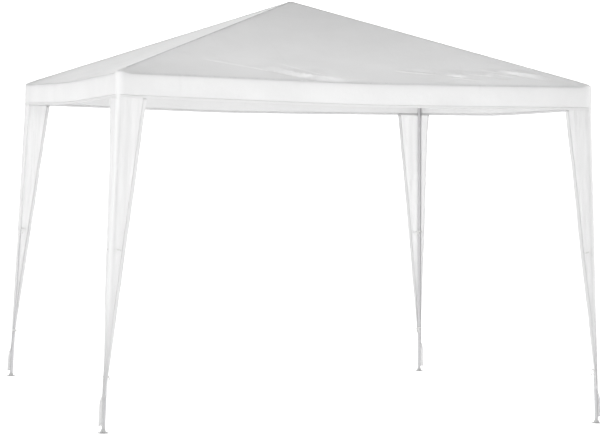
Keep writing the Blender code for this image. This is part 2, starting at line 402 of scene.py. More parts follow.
def new_finish(name):
    material = bpy.data.materials.new(name)
    material.use_nodes = True
    return material, Nodes(material.node_tree)


def noise_signal(nodes, where, scale, detail=2.0, roughness=0.5, kind="FBM"):
    sockets = {"Vector": where, "Scale": scale, "Detail": detail, "Roughness": roughness}
    return nodes.add("ShaderNodeTexNoise", {"noise_type": kind, "normalize": True}, sockets).out(0)


def mixed_colour(nodes, share, first, second):
    settings = {"data_type": "RGBA", "blend_type": "MIX"}
    made = nodes.add("ShaderNodeMix", settings, {0: share, 6: first, 7: second})
    return made.out(2)


def rgba(colour, gain=1.0):
    return (*(channel * gain for channel in colour), 1.0)


def brightened(colour, gain):
    return [channel * gain for channel in colour]


def bumped(nodes, height):
    """The surface's normal, from a height in millimetres."""
    return nodes.add("ShaderNodeBump", {}, {"Strength": 1.0, "Distance": MILLIMETRE, "Height": height}).out(0)


def opaque_surface(nodes, tone, rough, height):
    sockets = {"Base Color": tone, "Roughness": rough, "Normal": bumped(nodes, height)}
    surface = nodes.add("ShaderNodeBsdfPrincipled", {}, sockets)
    nodes.add("ShaderNodeOutputMaterial", {}, {0: surface.out(0)})


def glowing_sheet(nodes, tone, rough, height, glow, clear=0.5):
    """Sheet that lets a share (glow) of the light behind it through, paler than its tone by clear."""
    normal = bumped(nodes, height)
    sockets = {"Base Color": tone, "Roughness": rough, "Normal": normal, "IOR": 1.45}
    sheet = nodes.add("ShaderNodeBsdfPrincipled", {}, sockets)
    passed = mixed_colour(nodes, clear, tone, (1.0, 1.0, 1.0, 1.0))
    through = nodes.add("ShaderNodeBsdfTranslucent", {}, {"Color": passed, "Normal": normal})
    mixed = nodes.add("ShaderNodeMixShader", {}, {0: glow, 1: sheet.out(0), 2: through.out(0)})
    nodes.add("ShaderNodeOutputMaterial", {}, {0: mixed.out(0)})


def woven(u, v, pitch):
    """Height of crossing threads, from -1 to 1."""
    return u.wave(pitch) * v.wave(pitch)


def cloth_axes(nodes):
    """The two axes of the cloth map, in metres along the sheet."""
    cloth = nodes.add("ShaderNodeUVMap", {"uv_map": CLOTH_MAP}).out(0)
    axes = nodes.add("ShaderNodeSeparateXYZ", {}, {0: cloth})
    return axes.out(0), axes.out(1)


# Thin creases near the front and back eaves, as two (x, distance in from the eave) points and a height in mm,
# which also sets each crease's painted highlight
CREASES = (
    ((-0.90, 0.345), (-0.67, 0.262), 3.5),
    ((-0.74, 0.276), (-0.40, 0.150), 4.0),
    ((-0.50, 0.206), (-0.22, 0.086), 2.0),
    ((-0.44, 0.360), (-0.27, 0.215), 3.0),
    ((-0.30, 0.250), (-0.10, 0.060), 3.0),
    ((-0.40, 0.150), (-0.12, 0.058), 3.0),
    ((0.28, 0.285), (0.40, 0.256), 3.5),
    ((0.30, 0.262), (0.56, 0.226), 4.0),
    ((0.58, 0.242), (0.75, 0.180), 5.5),
    ((0.60, 0.165), (0.80, 0.120), 3.5),
    ((0.73, 0.254), (0.91, 0.204), 6.5),
    ((0.86, 0.322), (1.05, 0.224), 4.5),
    ((0.88, 0.240), (1.04, 0.170), 4.5),
    ((0.98, 0.300), (1.16, 0.186), 4.0),
    ((1.06, 0.270), (1.22, 0.180), 4.0),
    ((1.13, 0.196), (1.25, 0.140), 5.0),
)


def drawn_creases(u, v):
    """Heights of the thin creases, steep on the side of the eave, and a painted highlight along that side."""
    x = u.math("WRAP", 6.0, -2.0)
    total, crease_highlight = 0.0, 0.0
    for start, end, height in CREASES:
        first, run = Vector(start), Vector(end) - Vector(start)
        way = run.normalized()
        along = x * (way.x / run.length) + v * (way.y / run.length) - first.dot(way) / run.length
        across = v * way.x - x * way.y - (first.y * way.x - first.x * way.y)
        taper = along.band(0.5, 0.10, 0.45)
        total = total + across.eased(-0.024, 0.0) * across.eased(0.110, 0.0) * taper * (height * 1.5)
        crease_highlight = crease_highlight + across.band(-0.011, 0.005, 0.011) * taper * (height * 0.17)
    return total, crease_highlight


def tarpaulin_finish(name, colour):
    """Canopy sheet: weave, packing creases with painted shade, drawn creases with a painted highlight,
    crumples, puckered hips, and a painted highlight near the corners, which also let less light through.
    """
    material, nodes = new_finish(name)
    u, v = cloth_axes(nodes)
    place = nodes.add("ShaderNodeTexCoord").out("Object")
    weave = woven(u, v, SHEET_WEAVE)
    crumple = noise_signal(nodes, place, 7.0, 3.0, 0.55, "RIDGED_MULTIFRACTAL")
    ripple = noise_signal(nodes, place, 26.0, 3.0, 0.5)
    kept = noise_signal(nodes, place, 4.3, 3.0, 0.6).widened(0.44, 0.62)
    upright = u.nearest_multiple(0.375).band(0.0, 0.001, 0.011)
    level = v.nearest_multiple(0.43).band(0.0, 0.001, 0.011)
    creases = (upright + level) * kept
    axes = nodes.add("ShaderNodeSeparateXYZ", {}, {0: place})
    x, y = (axes.out(i).math("ABSOLUTE") for i in (0, 1))
    from_hip = x - y
    # Near the four upright corners the sheet gets a painted highlight and lets less light through
    corner = x.math("MINIMUM", y).widened(HALF_SHEET - 0.050, HALF_SHEET - 0.010)
    puckers = from_hip.band(0.0, 0.010, 0.060) * noise_signal(nodes, place, 38.0, 2.0, 0.4)
    drift, sway = (noise_signal(nodes, place, pitch, 2.0) * 0.032 - 0.016 for pitch in (7.0, 9.0))
    drawn, crease_highlight = drawn_creases(u + drift, v + sway)
    at_front = axes.out(1).eased(0.2, -0.2) * 0.7 + 0.3
    height = weave * 0.035 + crumple + ripple * 1.5 + creases * 0.25 + puckers * 2.0 + drawn * at_front
    cloud = noise_signal(nodes, place, 3.4, 4.0, 0.6).widened()
    tone = mixed_colour(nodes, cloud, rgba(colour, 0.978), rgba(colour, 1.012))
    # Painted shade along the packing creases
    tone = mixed_colour(nodes, creases * 0.3, tone, rgba(colour, 0.92))
    # Painted highlight on the drawn creases, stronger towards the front
    tone = mixed_colour(nodes, crease_highlight * at_front, tone, rgba(colour, 1.20))
    # Painted highlight near the corners
    tone = mixed_colour(nodes, corner, tone, rgba(colour, 1.13))
    rough = noise_signal(nodes, place, 3.1, 2.0) * 0.14 + 0.36
    over_tube = v.band(0.018, 0.012, 0.012)
    glowing_sheet(nodes, tone, rough, height, 0.36 - (corner + over_tube) * 0.17)
    return material


def curtain_finish(name, colour):
    """Curtain sheet: the same weave, with soft upright streaks, a few cross creases and painted light in the
    fold beside the leg.
    """
    material, nodes = new_finish(name)
    u, v = cloth_axes(nodes)
    place = nodes.add("ShaderNodeTexCoord").out("Object")
    weave = woven(u, v, SHEET_WEAVE)
    drawn = nodes.add("ShaderNodeCombineXYZ", {}, {0: u * 34.0, 1: v * 2.2}).out(0)
    streaks = noise_signal(nodes, drawn, 1.0, 3.0, 0.55).widened()
    crumple = noise_signal(nodes, place, 9.0, 3.0, 0.55, "RIDGED_MULTIFRACTAL")
    ripple = noise_signal(nodes, place, 30.0, 3.0, 0.5)
    kept = noise_signal(nodes, place, 6.0, 2.0).widened(0.45, 0.65)
    creases = v.nearest_multiple(0.31).band(0.0, 0.001, 0.008) * kept
    height = weave * 0.035 + streaks * 1.4 + crumple * 0.8 + ripple * 1.2 + creases * 0.3
    tone = mixed_colour(nodes, streaks, rgba(colour, 0.985), rgba(colour, 1.065))
    # Painted light beside the leg: the fold is paler there and lets less light through, so the leg's shade
    # behind it hardly shows
    painted_light_beside_leg = u.band(0.0, 0.010, 0.014) * v.widened(0.3, 0.8)
    tone = mixed_colour(nodes, painted_light_beside_leg, tone, rgba(colour, 1.15))
    glowing_sheet(nodes, tone, ripple * 0.16 + 0.32, height, 0.60 - painted_light_beside_leg * 0.42, 0.35)
    return material


def hem_finish(name, colour, stitch_line, shade):
    """Doubled hem: a row of stitches at a distance from its free edge, puckers, and painted shade along that
    edge.
    """
    material, nodes = new_finish(name)
    u, v = cloth_axes(nodes)
    place = nodes.add("ShaderNodeTexCoord").out("Object")
    pucker = noise_signal(nodes, place, 55.0, 2.0)
    pulled = noise_signal(nodes, place, 24.0, 2.0).widened(0.46, 0.60)
    row = v.band(stitch_line, 0.0008, 0.0009)
    stitches = row * u.nearest_multiple(0.006).band(0.0, 0.0019, 0.0006)
    edge = 1.0 - v.widened(0.0012, 0.0030)
    tone = mixed_colour(nodes, pucker, rgba(colour, 0.98), rgba(colour, 1.02))
    tone = mixed_colour(nodes, stitches * 0.2 + row * pulled * 0.25, tone, rgba(colour, 0.70))
    # Painted shade along the hem's free edge
    tone = mixed_colour(nodes, edge, tone, rgba(colour, shade))
    height = woven(u, v, FINE_WEAVE) * 0.04 + pucker * 1.2 - stitches * 0.35 - row * pulled * 0.6
    glowing_sheet(nodes, tone, pucker * 0.2 + 0.42, height, 0.32, 0.9)
    return material


def seam_finish(name, colour, glow):
    """Folded seam tape with a row of stitches along its middle."""
    material, nodes = new_finish(name)
    u, v = cloth_axes(nodes)
    place = nodes.add("ShaderNodeTexCoord").out("Object")
    stitches = v.band(0.0, 0.0006, 0.0006) * u.nearest_multiple(0.005).band(0.0, 0.0015, 0.0006)
    pucker = noise_signal(nodes, place, 60.0, 2.0)
    tone = mixed_colour(nodes, pucker.widened(), rgba(colour, 0.88), rgba(colour, 1.10))
    tone = mixed_colour(nodes, stitches, tone, rgba(colour, 0.72))
    height = woven(u, v, FINE_WEAVE) * 0.04 + pucker * 0.9 - stitches * 0.35
    glowing_sheet(nodes, tone, pucker * 0.2 + 0.45, height, glow)
    return material


def powder_coat_finish(name, colour):
    """Grey powder coat on steel: fine orange peel, light rubs and a few dull chips."""
    material, nodes = new_finish(name)
    place = nodes.add("ShaderNodeTexCoord").out("Object")
    peel = noise_signal(nodes, place, 620.0, 1.0)
    rub = noise_signal(nodes, place, 14.0, 4.0, 0.65)
    worn = rub.widened(0.56, 0.72)
    chips = noise_signal(nodes, place, 130.0, 3.0, 0.6)
    chipped = chips.widened(0.70, 0.73)
    tone = mixed_colour(nodes, worn * 0.5, rgba(colour), rgba(colour, 1.22))
    tone = mixed_colour(nodes, chipped * worn, tone, rgba(colour, 0.6))
    opaque_surface(nodes, tone, worn * 0.14 + 0.34, peel * 0.04 - chipped * worn * 0.08)
    return material


def moulded_finish(name, colour):
    """Grained moulded plastic with faint flow marks."""
    material, nodes = new_finish(name)
    place = nodes.add("ShaderNodeTexCoord").out("Object")
    grain = noise_signal(nodes, place, 900.0, 2.0)
    flow = noise_signal(nodes, place, 30.0, 3.0, 0.6)
    tone = mixed_colour(nodes, flow, rgba(colour, 0.9), rgba(colour, 1.1))
    opaque_surface(nodes, tone, grain * 0.12 + 0.42, grain * 0.05 + flow * 0.1)
    return material


def webbing_finish(name, colour):
    """Narrow woven tape with a ribbed weave."""
    material, nodes = new_finish(name)
    u, v = cloth_axes(nodes)
    place = nodes.add("ShaderNodeTexCoord").out("Object")
    ribs = woven(u + v, u - v, RIB_PITCH)
    soil = noise_signal(nodes, place, 45.0, 3.0)
    tone = mixed_colour(nodes, soil, rgba(colour, 0.86), rgba(colour, 1.06))
    opaque_surface(nodes, tone, soil * 0.1 + 0.72, ribs * 0.09 + soil * 0.1)
    return material


def finish_named(context, name):
    """The finish of this name, made on first use."""
    if name in bpy.data.materials:
        return bpy.data.materials[name]
    colours = context.scene.tent_colours
    makers = {
        "canopy_tarpaulin": lambda: tarpaulin_finish(name, colours.sheet),
        "curtain_tarpaulin": lambda: curtain_finish(name, colours.sheet),
        "valance_hem_tarpaulin": lambda: hem_finish(name, brightened(colours.sheet, 1.04), 0.0135, 0.97),
        "curtain_hem_tarpaulin": lambda: hem_finish(name, brightened(colours.sheet, 1.06), 0.0195, 1.0),
        # Painted shade: the hip seam tape is darker than the sheet and lets no light through
        "seam_tape": lambda: seam_finish(name, colours.seam, 0.0),
        "eave_tape": lambda: seam_finish(name, brightened(colours.seam, 1.28), 0.12),
        "powder_coat": lambda: powder_coat_finish(name, colours.tube),
        "foot_coat": lambda: powder_coat_finish(name, colours.foot),
        "moulded_plastic": lambda: moulded_finish(name, colours.plastic),
        "tie_webbing": lambda: webbing_finish(name, colours.webbing),
    }
    return makers[name]()


def mesh_of(bm, name):
    """The mesh of a bmesh, which is freed."""
    mesh = bpy.data.meshes.new(name)
    bm.to_mesh(mesh)
    bm.free()
    return mesh


def linked(name, data):
    """An object in the scene for a mesh, light or camera."""
    made = bpy.data.objects.new(name, data)
    bpy.context.scene.collection.objects.link(made)
    return made


def add_shell(bm, other):
    """Add another bmesh to this one and free it."""
    mesh = mesh_of(other, "shell")
    bm.from_mesh(mesh)
    bpy.data.meshes.remove(mesh)


def turn_to(bm, quarter):
    """Turn a piece of the front left corner or the front side to another quarter of the tent."""
    bmesh.ops.rotate(bm, verts=bm.verts[:], matrix=Matrix.Rotation(quarter * math.pi / 2, 3, "Z"))


def add_piece(context, bm, name, finish, replaced=(), sharp=35.0):
    """A finished piece that rides on the frame, smooth but for edges sharper than an angle."""
    mesh = mesh_of(bm, name)
    mesh.materials.append(finish_named(context, finish))
    mesh.shade_smooth()
    mesh.set_sharp_from_angle(angle=math.radians(sharp))
    piece = linked(name, mesh)
    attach(piece, ROOT)
    if replaced:
        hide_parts(*replaced)
    return piece


def give_thickness(piece, thickness, offset=-1.0):
    shell = piece.modifiers.new("Thickness", "SOLIDIFY")
    shell.thickness = thickness
    shell.offset = offset
    shell.use_even_offset = True


def turned(point, quarter):
    """A point of the front side or the front left corner, turned to this quarter of the tent."""
    return Matrix.Rotation(quarter * math.pi / 2, 3, "Z") @ Vector(point)


def quarter_of(x, y):
    """The gore or side that a place belongs to, counted from the front one."""
    if abs(y) >= abs(x):
        return 0 if y < 0 else 2
    return 1 if x > 0 else 3


def sheet_grid(columns, rows, place):
    """A grid of faces with its cloth map in metres, its vertices moved to place(column, row)."""
    bm = bmesh.new()
    bmesh.ops.create_grid(bm, x_segments=len(columns) - 1, y_segments=len(rows) - 1, size=1.0)
    cloth = bm.loops.layers.uv.new(CLOTH_MAP)
    for vertex in bm.verts:
        column = columns[round((vertex.co.x + 1.0) / 2.0 * (len(columns) - 1))]
        row = rows[round((vertex.co.y + 1.0) / 2.0 * (len(rows) - 1))]
        for loop in vertex.link_loops:
            loop[cloth].uv = (column, row)
        vertex.co = place(column, row)
    return bm


def face_out(bm, middle):
    """Turn a sheet's faces away from a point inside the tent."""
    bmesh.ops.recalc_face_normals(bm, faces=bm.faces[:])
    middle = Vector(middle)
    if sum((face.calc_center_median() - middle).dot(face.normal) for face in bm.faces) < 0:
        bmesh.ops.reverse_faces(bm, faces=bm.faces[:])


def steps(low, high, count):
    """Evenly spaced values from low to high."""
    return [low + (high - low) * i / count for i in range(count + 1)]


# Tension folds near the eave, as (x, distance in from the eave) points, a depth and a width
FRONT_FOLDS = (
    (
        ((-0.70, 0.256), (-0.49, 0.190), (-0.358, 0.119), (-0.251, 0.062), (-0.105, 0.040), (0.10, 0.022)),
        0.0165,
        0.018,
    ),
    (((-0.46, 0.222), (-0.31, 0.150), (-0.19, 0.083), (-0.06, 0.044)), 0.0120, 0.013),
    (((-0.93, 0.330), (-0.80, 0.292), (-0.70, 0.262)), 0.0060, 0.013),
    (((-0.282, 0.263), (-0.214, 0.217), (-0.15, 0.170)), 0.0050, 0.011),
    (
        ((0.27, 0.292), (0.42, 0.284), (0.534, 0.255), (0.636, 0.211), (0.748, 0.160), (0.86, 0.120)),
        0.0110,
        0.014,
    ),
    (((0.34, 0.150), (0.488, 0.080), (0.66, 0.066)), 0.0045, 0.011),
    (((0.62, 0.290), (0.75, 0.250), (0.856, 0.222), (0.935, 0.168), (1.04, 0.122)), 0.0090, 0.013),
    (((0.85, 0.318), (0.991, 0.269), (1.098, 0.202), (1.212, 0.154), (1.33, 0.110)), 0.0090, 0.013),
    (((1.02, 0.350), (1.14, 0.300), (1.26, 0.214)), 0.0050, 0.012),
)
SIDE_FOLDS = (
    (((0.62, 0.255), (0.42, 0.190), (0.16, 0.070), (-0.10, 0.022)), 0.0080, 0.018),
    (((-1.30, 0.130), (-1.02, 0.235), (-0.74, 0.290)), 0.0056, 0.013),
    (((-1.16, 0.120), (-0.98, 0.180), (-0.80, 0.212)), 0.0036, 0.012),
    (((0.78, 0.240), (1.02, 0.220), (1.28, 0.140)), 0.0044, 0.013),
)


def along_path(point, path):
    """Nearest place on a path: signed distance from it, positive inwards, and the share of its length."""
    lengths = [(Vector(b) - Vector(a)).length for a, b in zip(path, path[1:])]
    best = None
    passed = 0.0
    for (a, b), length in zip(zip(path, path[1:]), lengths):
        a, step = Vector(a), Vector(b) - Vector(a)
        share = min(max((point - a).dot(step) / length**2, 0.0), 1.0)
        offset = point - (a + step * share)
        side = 1.0 if step.x * offset.y - step.y * offset.x > 0 else -1.0
        side = side if step.x > 0 else -side
        if best is None or offset.length < abs(best[0]):
            best = (side * offset.length, (passed + share * length) / sum(lengths))
        passed += length
    return best


class Canopy:
    """Shape of the roof sheet and its valance, as it hangs on the frame."""

    def __init__(self, sizes):
        self.sizes = sizes
        self.eave_top = sizes.eave_height + sizes.fold_rise
        self.corner_lift = CORNER_SHEET_HEIGHT - self.eave_top

    def eave_line(self, u):
        """Height of the fold along a side, for u from -1 to 1, eased over the middle joint."""
        return self.eave_top - self.sizes.eave_droop * (1.0 - math.sqrt(u * u + 0.0225) * 0.989)

    def lift(self, distance):
        """How far the rafter holds the sheet up, at a distance from the hip."""
        return self.corner_lift * (1.0 - smoothstep(0.018, 0.088, distance))

    def folds(self, quarter, x, inward):
        """Puckers where the sheet is drawn over the eave, mirrored at the back, and the gore's billows."""
        point = Vector((x, inward)) if quarter != 2 else Vector((-x * 0.93, inward * 1.04))
        total = 0.0
        if inward < 0.45:
            for path, depth, width in FRONT_FOLDS if quarter in (0, 2) else SIDE_FOLDS:
                side, share = along_path(point, path)
                if abs(side) < width * 3.5:
                    taper = smoothstep(0.0, 0.3, share) * (1.0 - smoothstep(0.75, 1.0, share))
                    crest = math.exp(-(((side - width) / width) ** 2))
                    trough = math.exp(-(((side + width) / width) ** 2))
                    uneven = 1.0 + 0.9 * noise.noise(Vector((x * 7.0, depth * 900.0, quarter)))
                    total += depth * taper * uneven * (crest - 0.75 * trough)
        from_hip = HALF_SHEET - inward - abs(x)
        total *= smoothstep(0.004, 0.075, from_hip) * smoothstep(0.0, 0.045, inward)
        free = smoothstep(0.0, 0.12, inward) * smoothstep(0.03, 0.16, from_hip)
        where = Vector((x, inward, quarter * 9.7))
        total += free * 0.0040 * noise.noise(where * 1.9)
        total += free * 0.0016 * (0.35 - abs(noise.noise(where * 6.5)))
        total += free * 0.0006 * noise.noise(where * 19.0)
        return total

    def roof_height(self, x, y):
        """Height of the sheet at a place seen from above."""
        quarter = quarter_of(x, y)
        local = turned((x, y, 0.0), -quarter)
        reach = -local.y
        share = 1.0 - reach / HALF_SHEET
        u = local.x / reach if reach > 1e-6 else 0.0
        height = self.eave_line(u) * (1.0 - share) + PEAK_SHEET_HEIGHT * share
        height += self.lift(reach - abs(local.x)) * (1.0 - share)
        open_share = max(4.0 * share * (1.0 - share), 0.0)
        height -= self.sizes.panel_sag * (1.0 - u * u) ** 2 * open_share**1.5
        from_corner = math.hypot(HALF_SHEET - abs(local.x), HALF_SHEET - reach)
        height -= 0.012 * math.exp(-((from_corner / 0.020) ** 2))
        return height + self.folds(quarter, local.x, HALF_SHEET - reach)

    def swing(self, quarter, x, drop):
        """How far the valance stands out from its plane, at a distance below the fold."""
        held = 1.0 - smoothstep(1.30, 1.47, abs(x))
        where = Vector((x, 0.0, quarter * 5.3))
        wave = 0.0036 * noise.noise(where * 2.4) + 0.0010 * noise.noise(where * 7.0)
        pucker = 0.0012 * noise.noise(Vector((x * 30.0, drop * 9.0, quarter * 3.1)))
        return held * (wave * smoothstep(0.02, 0.14, drop) + pucker * smoothstep(0.0, 0.02, drop))

    def place(self, flat):
        """Where a point of the flat box, with its rim hanging at z below 0, goes on the tent."""
        height = self.roof_height(flat.x, flat.y)
        if flat.z >= 0.0:
            return rounded(Vector((flat.x, flat.y, height)))
        quarter = quarter_of(flat.x, flat.y)
        local = turned((flat.x, flat.y, 0.0), -quarter)
        u = min(abs(local.x) / HALF_SHEET, 1.0)
        lift = self.lift(HALF_SHEET * (1.0 - u))
        drop = -flat.z / self.sizes.valance_drop
        out = Vector((0.0, -self.swing(quarter, local.x, -flat.z), -drop * (self.sizes.valance_drop + lift)))
        local = rounded(Vector((local.x, local.y, height))) + out
        return turned(local, quarter)


def rounded(point):
    """Draw a point in to the rounded corner of the sheet, seen from above."""
    middle = HALF_SHEET - ROOF_CORNER_RADIUS
    over = Vector((max(abs(point.x) - middle, 0.0), max(abs(point.y) - middle, 0.0)))
    if min(over) > 0.0 and over.length > ROOF_CORNER_RADIUS:
        over *= ROOF_CORNER_RADIUS / over.length
        point.x = math.copysign(middle + over.x, point.x)
        point.y = math.copysign(middle + over.y, point.y)
    return point


def roof_ticks():
    """Places of the grid lines across the roof, close together near the eaves."""
    inward = [0.0, 0.006, 0.014] + steps(0.0225, 0.3225, 40)
    inward += steps(0.339, 0.611, 17) + steps(0.640, HALF_SHEET, 26)
    left = [distance - HALF_SHEET for distance in inward]
    return left + [-tick for tick in reversed(left[:-1])]


class TENT_OT_canopy(bpy.types.Operator):
    """Add the roof sheet, which runs over the eaves into its valance, and its hem"""

    bl_idname = "tent.canopy"
    bl_label = "Canopy"

    def execute(self, context):
        sizes = context.scene.tent_sizes
        canopy = Canopy(sizes)
        ticks = roof_ticks()
        bm = sheet_grid(ticks, ticks, lambda x, y: Vector((x, y, 0.0)))
        for normal in ((1.0, -1.0, 0.0), (1.0, 1.0, 0.0)):
            geometry = bm.verts[:] + bm.edges[:] + bm.faces[:]
            bmesh.ops.bisect_plane(bm, geom=geometry, dist=0.0001, plane_co=(0.0, 0.0, 0.0), plane_no=normal)
        rim = [edge for edge in bm.edges if edge.is_boundary]
        rows = 9
        for _ in range(rows):
            made = bmesh.ops.extrude_edge_only(bm, edges=rim)["geom"]
            rim = [edge for edge in made if isinstance(edge, bmesh.types.BMEdge) and edge.is_boundary]
            lowered = [vertex for vertex in made if isinstance(vertex, bmesh.types.BMVert)]
            bmesh.ops.translate(bm, verts=lowered, vec=(0.0, 0.0, -sizes.valance_drop / rows))
        self.round_folds(bm)
        self.map_cloth(bm)
        for vertex in bm.verts:
            vertex.co = canopy.place(vertex.co)
        bmesh.ops.remove_doubles(bm, verts=bm.verts[:], dist=0.0004)
        bmesh.ops.dissolve_degenerate(bm, edges=bm.edges[:], dist=0.0002)
        face_out(bm, (0.0, 0.0, 1.0))
        replaced = [prefix + side for prefix in ("roof_panel_", "valance_") for side in SIDES]
        piece = add_piece(context, bm, "canopy", "canopy_tarpaulin", replaced, 50.0)
        give_thickness(piece, sizes.sheet_thickness)
        hem = self.add_hem(context, canopy)
        return {"FINISHED"}

    @staticmethod
    def round_folds(bm):
        """Round the fold over the eaves and the four upright corners."""

        def on_rim(vertex):
            return max(abs(vertex.co.x), abs(vertex.co.y)) > HALF_SHEET - 1e-5

        def at_corner(vertex):
            return min(abs(vertex.co.x), abs(vertex.co.y)) > HALF_SHEET - 1e-5

        edges = []
        for edge in bm.edges:
            level = all(abs(vertex.co.z) < 1e-6 for vertex in edge.verts)
            if all(on_rim(vertex) for vertex in edge.verts) and level and len(edge.link_faces) == 2:
                edges.append(edge)
            elif all(at_corner(vertex) for vertex in edge.verts):
                edges.append(edge)
        bmesh.ops.bevel(
            bm,
            geom=edges,
            offset=EAVE_FOLD_RADIUS,
            affect="EDGES",
            segments=3,
            profile=0.5,
            material=-1,
            clamp_overlap=True,
        )
        bmesh.ops.remove_doubles(bm, verts=bm.verts[:], dist=0.0002)

    @staticmethod
    def map_cloth(bm):
        """Lay each gore and its valance out flat in the cloth map, in metres."""
        cloth = bm.loops.layers.uv[CLOTH_MAP]
        slope = math.hypot(HALF_SHEET, PEAK_SHEET_HEIGHT - CORNER_SHEET_HEIGHT) / HALF_SHEET
        for face in bm.faces:
            centre = face.calc_center_median()
            quarter = quarter_of(centre.x, centre.y)
            for loop in face.loops:
                local = turned(loop.vert.co, -quarter)
                up = (HALF_SHEET + local.y) * slope + local.z
                loop[cloth].uv = (local.x + quarter * 4.0, up)

    @staticmethod
    def add_hem(context, canopy):
        """The doubled hem along the bottom of the valance, one band on each side, mitred at the corners."""
        drop = canopy.sizes.valance_drop
        columns = steps(-HALF_SHEET, HALF_SHEET, 120)
        rows = (0.0, 0.0020, 0.0060, 0.0115, 0.0160)
        merged = bmesh.new()
        for quarter in range(4):

            def place(x, height, quarter=quarter):
                y = -HALF_SHEET + 0.0004
                return canopy.place(turned((x * (1.0 - 1e-7), y, height - drop - 0.0006), quarter))

            add_shell(merged, sheet_grid(columns, rows, place))
        bmesh.ops.remove_doubles(merged, verts=merged.verts[:], dist=0.0009)
        face_out(merged, (0.0, 0.0, 1.9))
        piece = add_piece(context, merged, "valance_hem", "valance_hem_tarpaulin")
        give_thickness(piece, VALANCE_HEM_THICKNESS, 0.0)
        return piece


class TENT_OT_seams(bpy.types.Operator):
    """Add the folded seams along the four hips and the eaves"""

    bl_idname = "tent.seams"
    bl_label = "Seams"

    def execute(self, context):
        canopy = Canopy(context.scene.tent_sizes)
        for quarter, corner in enumerate(CORNERS):
            place = self.hip_place(canopy, quarter)
            bm = sheet_grid(steps(0.045, 0.997, 170), steps(-0.0045, 0.0045, 6), place)
            face_out(bm, (0.0, 0.0, 1.0))
            piece = add_piece(context, bm, "hip_seam_" + corner, "seam_tape", (), 70.0)
            give_thickness(piece, HIP_SEAM_THICKNESS)
        for quarter, side in enumerate(SIDES):
            place = self.eave_place(canopy, quarter)
            bm = sheet_grid(steps(-0.925, 0.925, 200), steps(-0.0022, 0.0022, 4), place)
            face_out(bm, (0.0, 0.0, 1.0))
            piece = add_piece(context, bm, "eave_seam_" + side, "eave_tape", (), 70.0)
            give_thickness(piece, EAVE_SEAM_THICKNESS)
        return {"FINISHED"}

    @staticmethod
    def hip_place(canopy, quarter):
        """Along a hip from its corner, laid over to one side, with a low bead where the seam is folded."""

        def place(share, across):
            along = -HALF_SHEET * (1.0 - share)
            aside = (across + HIP_SEAM_ASIDE) * 0.7071
            flat = turned((along + aside, along - aside, 0.0), quarter)
            bead = 0.0008 * math.exp(-((across / 0.0026) ** 2))
            flat.z = canopy.roof_height(flat.x, flat.y) + SEAM_ALLOWANCE + 0.0006 + bead
            return flat

        return place

    @staticmethod
    def eave_place(canopy, quarter):
        """Along an eave, just inside its fold."""

        def place(share, across):
            inward = EAVE_SEAM_INSET + across
            flat = turned((share * (HALF_SHEET - inward), inward - HALF_SHEET, 0.0), quarter)
            bead = 0.0006 * math.exp(-((across / 0.0014) ** 2))
            flat.z = canopy.roof_height(flat.x, flat.y) + SEAM_ALLOWANCE + 0.0008 + bead
            return flat

        return place


class Curtain:
    """Shape of one corner curtain: two wings that meet in an upright fold outside the leg.

    Near the ground one wing ends, and the other runs on as a narrow tail that turns outwards.
    """

    def __init__(self, sizes, quarter):
        self.sizes = sizes
        self.quarter = quarter
        self.tail_wing = 1.0 if quarter % 2 else -1.0
        self.hem_height = sizes.eave_height + sizes.fold_rise - sizes.valance_drop
        self.lean = (GROUND_REACH - sizes.leg_spacing / 2) / sizes.eave_height
        self.top = self.hem_height + CURTAIN_OVERLAP

    def width(self, wing, height):
        """A wing's width at a height: a straight taper, then the narrow end."""
        sizes = self.sizes
        share = (height - sizes.curtain_tip_height) / (self.hem_height - sizes.curtain_tip_height)
        uneven = 0.0016 * noise.noise(Vector((height * 11.0, wing * 5.0, self.quarter * 3.7)))
        if share >= 0.0:
            taper = sizes.curtain_tip_width + (sizes.curtain_width - sizes.curtain_tip_width) * share
            return taper + uneven * smoothstep(0.0, 0.15, self.hem_height - height)
        below = sizes.curtain_tip_height - height
        end = TAIL_WIDTH if wing == self.tail_wing else TIP_END_WIDTH
        narrowed = (end - sizes.curtain_tip_width) * smoothstep(0.0, 0.040, below)
        return sizes.curtain_tip_width + narrowed + uneven * 0.5

    def outer(self, height):
        """Distance of the upright fold from the tent's middle, in x and in y."""
        return HALF_SHEET - CURTAIN_CLEARANCE + max(self.hem_height - height, 0.0) * self.lean

    def ripple(self, wing, across, height):
        """How far a wing stands out of its plane: soft upright waves that grow towards its free edge."""
        below = self.hem_height - height
        free = smoothstep(0.028, 0.11, across) * smoothstep(0.0, 0.25, below)
        edge = smoothstep(0.35, 1.0, across / self.width(wing, height)) * smoothstep(0.0, 0.15, below)
        where = Vector((across * 9.0, height * 1.6, self.quarter * 4.1 + wing * 2.3))
        wave = 0.0085 * noise.noise(where) + 0.0024 * noise.noise(where * 3.0)
        low = smoothstep(0.0, 0.2, height - self.sizes.curtain_tip_height)
        curl = -0.0045 * low * (1.0 + noise.noise(Vector((height * 3.0, self.quarter, wing * 7.7))))
        slack = 0.0015 * noise.noise(Vector((across * 40.0, height * 5.0, self.quarter * 2.0 + wing)))
        return free * wave + edge * curl + slack * smoothstep(0.0, 0.1, below)

    def place(self, share, height, lift=0.0):
        """share runs from -1 on the free edge of one wing through the fold to 1 on the other's."""
        wing = 1.0 if share > 0 else -1.0
        across = abs(share) * self.width(wing, height)
        outer = self.outer(height)
        radius = CURTAIN_FOLD_RADIUS
        half_fold = radius * math.pi / 4
        if across < half_fold:
            angle = across / radius
            centre = outer - radius
            along = centre + radius * math.sin(math.pi / 4 - angle)
            out = centre + radius * math.cos(math.pi / 4 - angle)
        else:
            run = across - half_fold
            opening = 0.0
            if wing == self.tail_wing:
                opening = TAIL_TURN * smoothstep(0.02, 0.13, self.sizes.curtain_tip_height + 0.03 - height)
            along = outer - radius - run * math.cos(opening)
            out = outer + run * math.sin(opening)
        out += self.ripple(wing, across, height) + lift
        point = Vector((-along, -out, height)) if wing > 0 else Vector((-out, -along, height))
        return turned(point, self.quarter)


